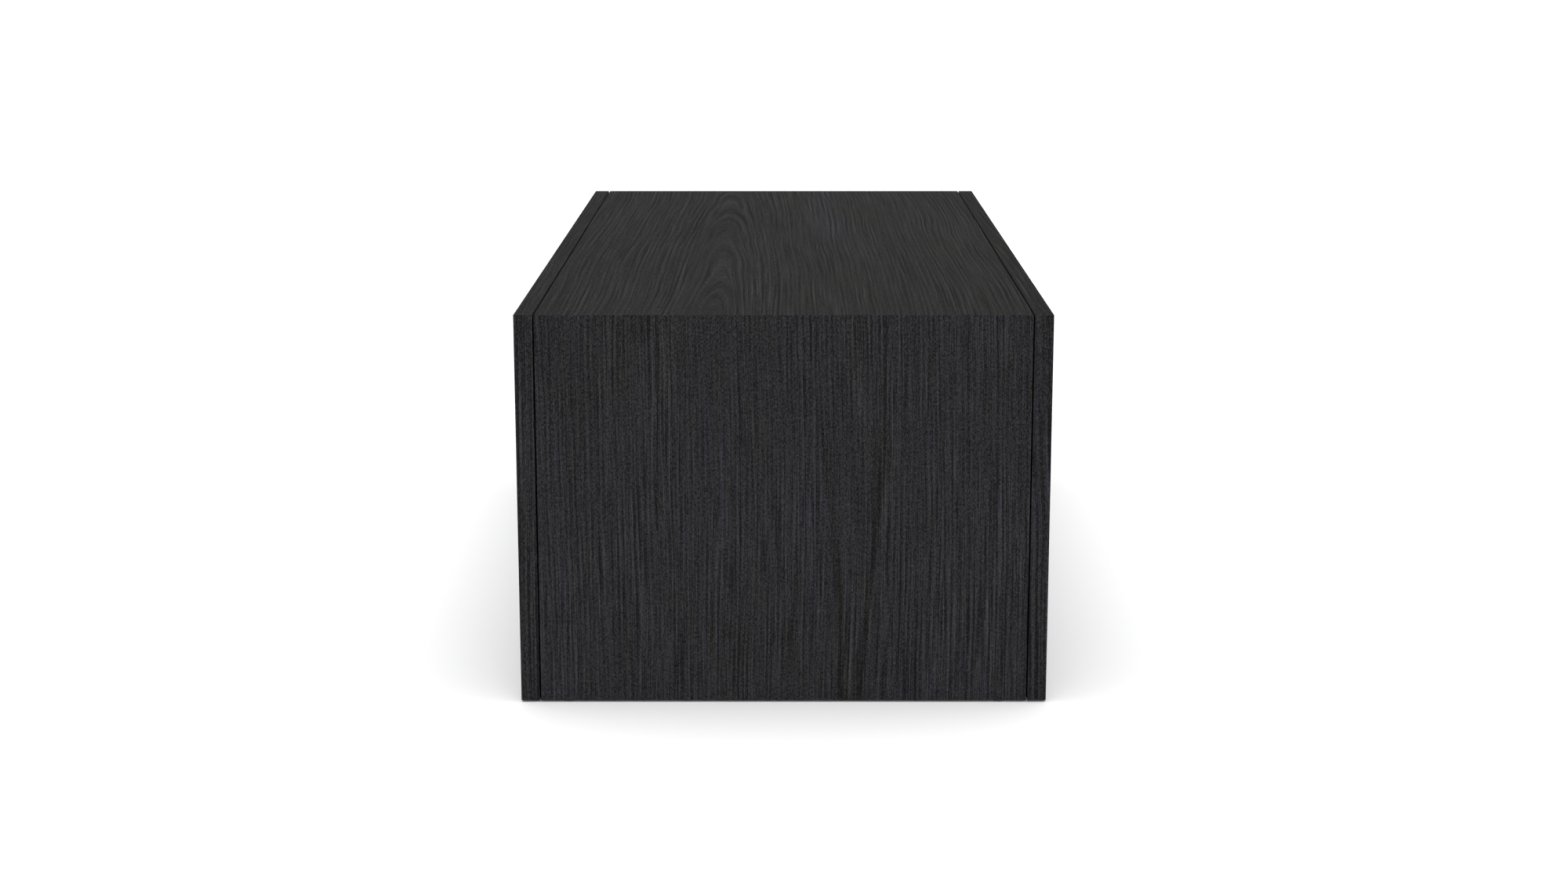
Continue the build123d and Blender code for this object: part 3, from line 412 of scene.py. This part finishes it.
def oak(name, along, seed, face_shading, rings=None, arch=None, vee=None, painted_sheen=None, painted_foot_light=0.0,
        contrast=1.0, run=1.0, short=1.0, sway=1.0):
    """Black-stained open-pore oak veneer.

    along maps the axis that a face looks along to the axis its grain runs along.
    The factors for the faces that look along X, Y and Z, the fourth argument, are painted light and shade
    for how the lamps fall on each face.
    rings is (centre across, depth, taper) of the growth rings that the leaf was cut through.
    arch is (pitch, reach, weight) of broad dark arches that follow those rings.
    vee is (centre across, half width at v=0, spread, v at the top) of a pair of dark streaks.
    The painted sheen is (centre across, half width, v where it starts) of a sheaf of brighter lines.
    The painted foot light is how much paler an upright leaf is made at its foot, to offset the floor's shade
    there.
    contrast, short and sway are factors for the figure, its short marks and its drift.
    run is how fast the figure changes along the grain."""
    leaf = Leaf(name, along, seed, run)
    ring = leaf.drifting(sway)
    aside = None
    if rings:
        ring, aside = leaf.cut_rings(ring, rings)

    value = leaf.streaks(ring, aside, contrast)
    marks = leaf.layer(leaf.u, SHORT_MARKS)
    value = leaf.add(value, leaf.mul(marks, SHORT_MARKS_WEIGHT * contrast * short))
    patch = leaf.layer(leaf.u, PATCHES, detail=3.0)
    value = leaf.add(value, leaf.mul(patch, PATCHES_WEIGHT * contrast))
    if arch:
        value = leaf.add(value, leaf.arches(ring, aside, arch))
    olive = leaf.mul(patch, PATCHES_OLIVE)
    if vee:
        streak = leaf.vee_streaks(ring, vee)
        value = leaf.add(value, leaf.mul(streak, VEE_WEIGHT))
        olive = leaf.add(olive, leaf.mul(streak, VEE_OLIVE))
    # Painted sheen: a sheaf of brighter, bluer lines along the grain on the top
    if painted_sheen:
        sheaf = leaf.painted_sheen_mask(painted_sheen)
        bright = leaf.span(leaf.lines(leaf.u, PAINTED_SHEEN_PITCH, PAINTED_SHEEN_WOBBLE, PAINTED_SHEEN_PLACE), *PAINTED_SHEEN_LINES)
        value = leaf.add(value, leaf.mul(sheaf, bright))
        olive = leaf.add(olive, leaf.mul(sheaf, PAINTED_SHEEN_OLIVE))
    # Painted light: the faces along Y made paler towards their foot, to offset the floor's shade there
    if painted_foot_light:
        paler = leaf.span(leaf.v, 0.0, PAINTED_FOOT_LIGHT_HEIGHT, painted_foot_light, 0.0, smooth=False)
        value = leaf.add(value, leaf.mul(leaf.faces["Y"], paler))
    leaf.stain(ring, value, olive, face_shading, contrast)
    return leaf.material


# ---------------------------------------------------------------- the other materials

# Noise sizes are in cells per metre and bump depths in metres. A share is how far a mix goes towards
# its second colour. A span is (low, high) of a noise, whose middle is 0.5. A roughness is (low, high) of
# the shader's value, after the noise's span where it has four numbers.
MIDDLE = (0.3, 0.7)
BUMP_STRENGTH = 0.5

BOARD_EMBOSS = 1400.0
BOARD_SPECKS = 520.0
BOARD_SPECKS_SPAN = (0.66, 0.78)
BOARD_DARK = 0.82
BOARD_PALE = 1.15
BOARD_CLOUD = 1.3
BOARD_CLOUD_SHARE = 0.25
BOARD_SPECK = 1.9
BOARD_SPECK_SHARE = 0.3
BOARD_BUMP = 0.00008
BOARD_BUMP_STRENGTH = 0.6
BOARD_ROUGHNESS = (0.52, 0.64)


def faced_board(name, colour, cloud_scale):
    """Dark melamine-faced board with a fine embossed texture."""
    tree = Tree(name)
    fine = tree.noise(tree.position, scale=BOARD_EMBOSS)
    cloud = tree.noise(tree.position, scale=cloud_scale)
    speck = tree.span(tree.noise(tree.position, scale=BOARD_SPECKS, detail=1.0), *BOARD_SPECKS_SPAN)
    grit = tree.span(fine, *MIDDLE, smooth=False)
    base = tree.mix(grit, shade(colour, BOARD_DARK), shade(colour, BOARD_PALE))
    base = tree.mix(tree.mul(cloud, BOARD_CLOUD_SHARE), base, shade(colour, BOARD_CLOUD))
    base = tree.mix(tree.mul(speck, BOARD_SPECK_SHARE), base, shade(colour, BOARD_SPECK))
    tree.bump(fine, BOARD_BUMP, BOARD_BUMP_STRENGTH)
    tree.set(Base_Color=base, Roughness=tree.span(fine, *MIDDLE, *BOARD_ROUGHNESS))
    return tree.material


BEECH_ALONG = 60.0
BEECH_THROUGH = 900.0
BEECH_COLOURS = [(0.25, (0.42, 0.26, 0.14)), (0.75, (0.60, 0.42, 0.25))]
BEECH_RAYS = 700.0
BEECH_RAYS_SPAN = (0.60, 0.70)
BEECH_RAY_COLOUR = (0.26, 0.14, 0.07)
BEECH_RAY_SHARE = 0.6
BEECH_BUMP = 0.0001
BEECH_ROUGHNESS = (0.2, 0.8, 0.55, 0.7)


def beech(name):
    """Plain light hardwood with short dark rays."""
    tree = Tree(name)
    x, y, z = tree.split(tree.position)
    point = tree.join(tree.mul(x, BEECH_ALONG), tree.mul(y, BEECH_ALONG), tree.mul(z, BEECH_THROUGH))
    grain = tree.noise(point, detail=3.0)
    rays = tree.span(tree.noise(tree.position, scale=BEECH_RAYS, detail=1.0), *BEECH_RAYS_SPAN)
    base = tree.mix(tree.mul(rays, BEECH_RAY_SHARE), tree.ramp(grain, BEECH_COLOURS), BEECH_RAY_COLOUR)
    tree.bump(grain, BEECH_BUMP, BUMP_STRENGTH)
    tree.set(Base_Color=base, Roughness=tree.span(grain, *BEECH_ROUGHNESS))
    return tree.material


STEEL_DRAWN = 900.0
STEEL_SCRATCH_SPAN = (0.55, 0.75)
STEEL_SPANGLE = 140.0
STEEL_DARK = 0.86
STEEL_PALE = 1.1
STEEL_SCRATCH = 0.6
STEEL_BUMP = 0.00003
STEEL_SMOOTHER = 0.8
STEEL_ROUGHER = 1.25


def steel(name, colour, rough, stretch, scratch=0.3):
    """Zinc-plated or bare steel, its fine lines drawn out along X by the stretch."""
    tree = Tree(name)
    x, y, z = tree.split(tree.position)
    point = tree.join(tree.mul(x, STEEL_DRAWN / stretch), tree.mul(y, STEEL_DRAWN), tree.mul(z, STEEL_DRAWN))
    drawn = tree.noise(point, detail=3.0)
    spangle = tree.noise(tree.position, scale=STEEL_SPANGLE)
    base = tree.mix(spangle, shade(colour, STEEL_DARK), shade(colour, STEEL_PALE))
    scratches = tree.mul(tree.span(drawn, *STEEL_SCRATCH_SPAN), scratch)
    base = tree.mix(scratches, base, shade(colour, STEEL_SCRATCH))
    tree.bump(drawn, STEEL_BUMP, BUMP_STRENGTH)
    roughness = tree.span(spangle, *MIDDLE, rough * STEEL_SMOOTHER, rough * STEEL_ROUGHER)
    tree.set(Base_Color=base, Roughness=roughness, Metallic=1.0)
    return tree.material


PLASTIC_GRIT = 1800.0
PLASTIC_FLOW = 60.0
PLASTIC_DARK = 0.85
PLASTIC_PALE = 1.2
PLASTIC_BUMP = 0.00005
PLASTIC_ROUGHNESS_SPREAD = 0.08


def plastic(name, colour, rough):
    """Moulded plastic with a spark-eroded surface."""
    tree = Tree(name)
    grit = tree.noise(tree.position, scale=PLASTIC_GRIT)
    flow = tree.noise(tree.position, scale=PLASTIC_FLOW)
    base = tree.mix(tree.span(flow, *MIDDLE), shade(colour, PLASTIC_DARK), shade(colour, PLASTIC_PALE))
    tree.bump(grit, PLASTIC_BUMP, BUMP_STRENGTH)
    spread = (rough - PLASTIC_ROUGHNESS_SPREAD, rough + PLASTIC_ROUGHNESS_SPREAD)
    tree.set(Base_Color=base, Roughness=tree.span(grit, *MIDDLE, *spread))
    return tree.material


# ---------------------------------------------------------------- which piece wears which material

# From the axis that a face looks along to the axis its grain runs along
UPRIGHT_END = {"Y": "Z", "X": "Z", "Z": "X"}
LENGTHWISE_TOP = {"Z": "Y", "X": "Y", "Y": "X"}
SIDE_FRONT = {"X": "Y", "Y": "Z", "Z": "Y"}

# The figure of the leaves, as oak() describes it, with the painted sheen on the top and the painted light at
# the foot of the ends
TOP_RINGS = (-0.078, 0.032, 0.034)
TOP_ARCH = (0.0136, 0.09, 0.015)
TOP_PAINTED_SHEEN = (0.053, 0.036, -0.08)
TOP_FIGURE = {"contrast": 1.22, "run": 0.35, "short": 0.9, "sway": 1.3}
SIDE_FIGURE = {"rings": (0.20, 0.060, 0.030), "arch": (0.0160, 0.12, 0.14), "run": 0.5}
END_FIGURE_AND_PAINTED_LIGHT = {"vee": (0.0745, 0.0065, 0.085, 0.34), "painted_foot_light": 0.17}

surfaces = {
    "top_panel": oak(
        "oak_top", LENGTHWISE_TOP, seed=1.3, face_shading=PANEL_PAINTED_SHADING,
        rings=TOP_RINGS, arch=TOP_ARCH, painted_sheen=TOP_PAINTED_SHEEN, **TOP_FIGURE),
    "end_panel_front": oak("oak_end_front", UPRIGHT_END, seed=4.1, face_shading=PANEL_PAINTED_SHADING, **END_FIGURE_AND_PAINTED_LIGHT),
    "end_panel_rear": oak("oak_end_rear", UPRIGHT_END, seed=15.4, face_shading=PANEL_PAINTED_SHADING, **END_FIGURE_AND_PAINTED_LIGHT),
    "drawer_front_left": oak("oak_left", SIDE_FRONT, seed=22.6, face_shading=LEFT_PAINTED_SHADING, **SIDE_FIGURE),
    "drawer_front_right": oak("oak_right", SIDE_FRONT, seed=37.2, face_shading=RIGHT_PAINTED_SHADING, **SIDE_FIGURE),
}

by_slot = {
    "black_board": faced_board("carcass_board", (0.030, 0.030, 0.031), cloud_scale=6.0),
    "drawer_board": faced_board("drawer_board", (0.045, 0.045, 0.047), cloud_scale=8.0),
    "beech": beech("beech_wood"),
    "steel": steel("screw_steel", (0.62, 0.62, 0.64), rough=0.30, stretch=1.0),
    "runner_steel": steel("runner_steel", (0.40, 0.41, 0.43), rough=0.30, stretch=12.0, scratch=0.5),
    "cage_steel": steel("cage_steel", (0.42, 0.42, 0.44), rough=0.42, stretch=6.0),
    "ball_steel": steel("ball_steel", (0.75, 0.75, 0.77), rough=0.10, stretch=1.0, scratch=0.1),
    "zinc": steel("zinc_casting", (0.50, 0.50, 0.51), rough=0.48, stretch=1.0),
    "black_plastic": plastic("gear_plastic", (0.022, 0.022, 0.023), rough=0.42),
    "glide_plastic": plastic("glide_plastic", (0.035, 0.035, 0.034), rough=0.55),
}
slot_of = {entry["node"]: entry["material_slot"] for entry in frame["record"]["subparts"]}

for name, piece in nodes.items():
    material = surfaces.get(name) or by_slot[slot_of[name]]
    if not piece.material_slots:
        piece.data.materials.append(material)
    for place in piece.material_slots:
        place.material = material


# ---------------------------------------------------------------- latch springs

# On the real latch each spring shortens as its plunger goes in, and its inner end stays where it is. Here
# each spring is copied into a coil with its own mesh, fixed to the carcass, and the spring part is hidden.
for side in ("left", "right"):
    name = "latch_spring_" + side
    coil = bpy.data.objects.new("spring_coil_" + side, nodes[name].data.copy())
    bpy.context.scene.collection.objects.link(coil)
    coil.matrix_world = nodes[name].matrix_world.copy()
    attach(coil, "carcass")
    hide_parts(name)
    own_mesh(coil)


# ---------------------------------------------------------------- floor, light and camera

FLOOR_HALF = 60.0
FLOOR_GREY = (0.90, 0.90, 0.90, 1.0)
FLOOR_ROUGHNESS = 0.9

corners = [(x * FLOOR_HALF, y * FLOOR_HALF, 0) for x, y in ((-1, -1), (1, -1), (1, 1), (-1, 1))]
floor_mesh = bpy.data.meshes.new("floor")
floor_mesh.from_pydata(corners, [], [(0, 1, 2, 3)])
floor = bpy.data.objects.new("floor", floor_mesh)
bpy.context.scene.collection.objects.link(floor)
pale = Tree("pale_floor")
pale.set(Base_Color=FLOOR_GREY, Roughness=FLOOR_ROUGHNESS, Specular_IOR_Level=0.0)
floor_mesh.materials.append(pale.material)

WHITE = (1.0, 1.0, 1.0, 1.0)
SKY_SEEN = 1.0
SKY = 0.22
SUN_POWER = 3.4
SUN_SPREAD = math.radians(78)
SUN_PLACE = (0, 0, 4)
FILL_POWER = 3.0
FILL_SPREAD = math.radians(70)
FILL_PLACE = (0, -3, 2)
FILL_FROM = (0.0, -1.0, -0.05)


def background(tree, strength):
    """An even white sky of the given strength."""
    node = tree.nodes.new("ShaderNodeBackground")
    node.inputs["Color"].default_value = WHITE
    node.inputs["Strength"].default_value = strength
    return node.outputs[0]


def soft_sun(name, power, spread, place, rotation=(0.0, 0.0, 0.0)):
    """A broad even light. With no rotation it shines straight down."""
    lamp = bpy.data.lights.new(name, "SUN")
    lamp.energy = power
    lamp.angle = spread
    light = bpy.data.objects.new(name, lamp)
    light.location = place
    light.rotation_euler = rotation
    bpy.context.scene.collection.objects.link(light)


# The camera sees a white backdrop, and the table is lit by a dimmer one
world = bpy.data.worlds.new("studio")
bpy.context.scene.world = world
world.use_nodes = True
sky_tree = world.node_tree
sky_tree.nodes.clear()
output = sky_tree.nodes.new("ShaderNodeOutputWorld")
choose = sky_tree.nodes.new("ShaderNodeMixShader")
path = sky_tree.nodes.new("ShaderNodeLightPath")
sky_tree.links.new(path.outputs["Is Camera Ray"], choose.inputs[0])
sky_tree.links.new(background(sky_tree, SKY), choose.inputs[1])
sky_tree.links.new(background(sky_tree, SKY_SEEN), choose.inputs[2])
sky_tree.links.new(choose.outputs[0], output.inputs["Surface"])

soft_sun("overhead", SUN_POWER, SUN_SPREAD, SUN_PLACE)
fill_turn = Vector(FILL_FROM).to_track_quat("Z", "Y").to_euler()
soft_sun("front_fill", FILL_POWER, FILL_SPREAD, FILL_PLACE, fill_turn)

bpy.context.scene.view_settings.view_transform = "Standard"

CAMERA_PLACE = (0.0004, -3.2303, 0.8463)
CAMERA_DOWN = 11.918
CAMERA_TILT = math.radians(90 - CAMERA_DOWN)
CAMERA_LENS = 57.81
CAMERA_SENSOR = 36.0
CAMERA_NEAR = 0.05
CAMERA_FAR = 200.0

data = bpy.data.cameras.new("camera")
data.lens = CAMERA_LENS
data.sensor_width = CAMERA_SENSOR
data.clip_start = CAMERA_NEAR
data.clip_end = CAMERA_FAR
camera = bpy.data.objects.new("camera", data)
camera.location = CAMERA_PLACE
camera.rotation_euler = (CAMERA_TILT, 0.0, 0.0)
bpy.context.scene.collection.objects.link(camera)
bpy.context.scene.camera = camera
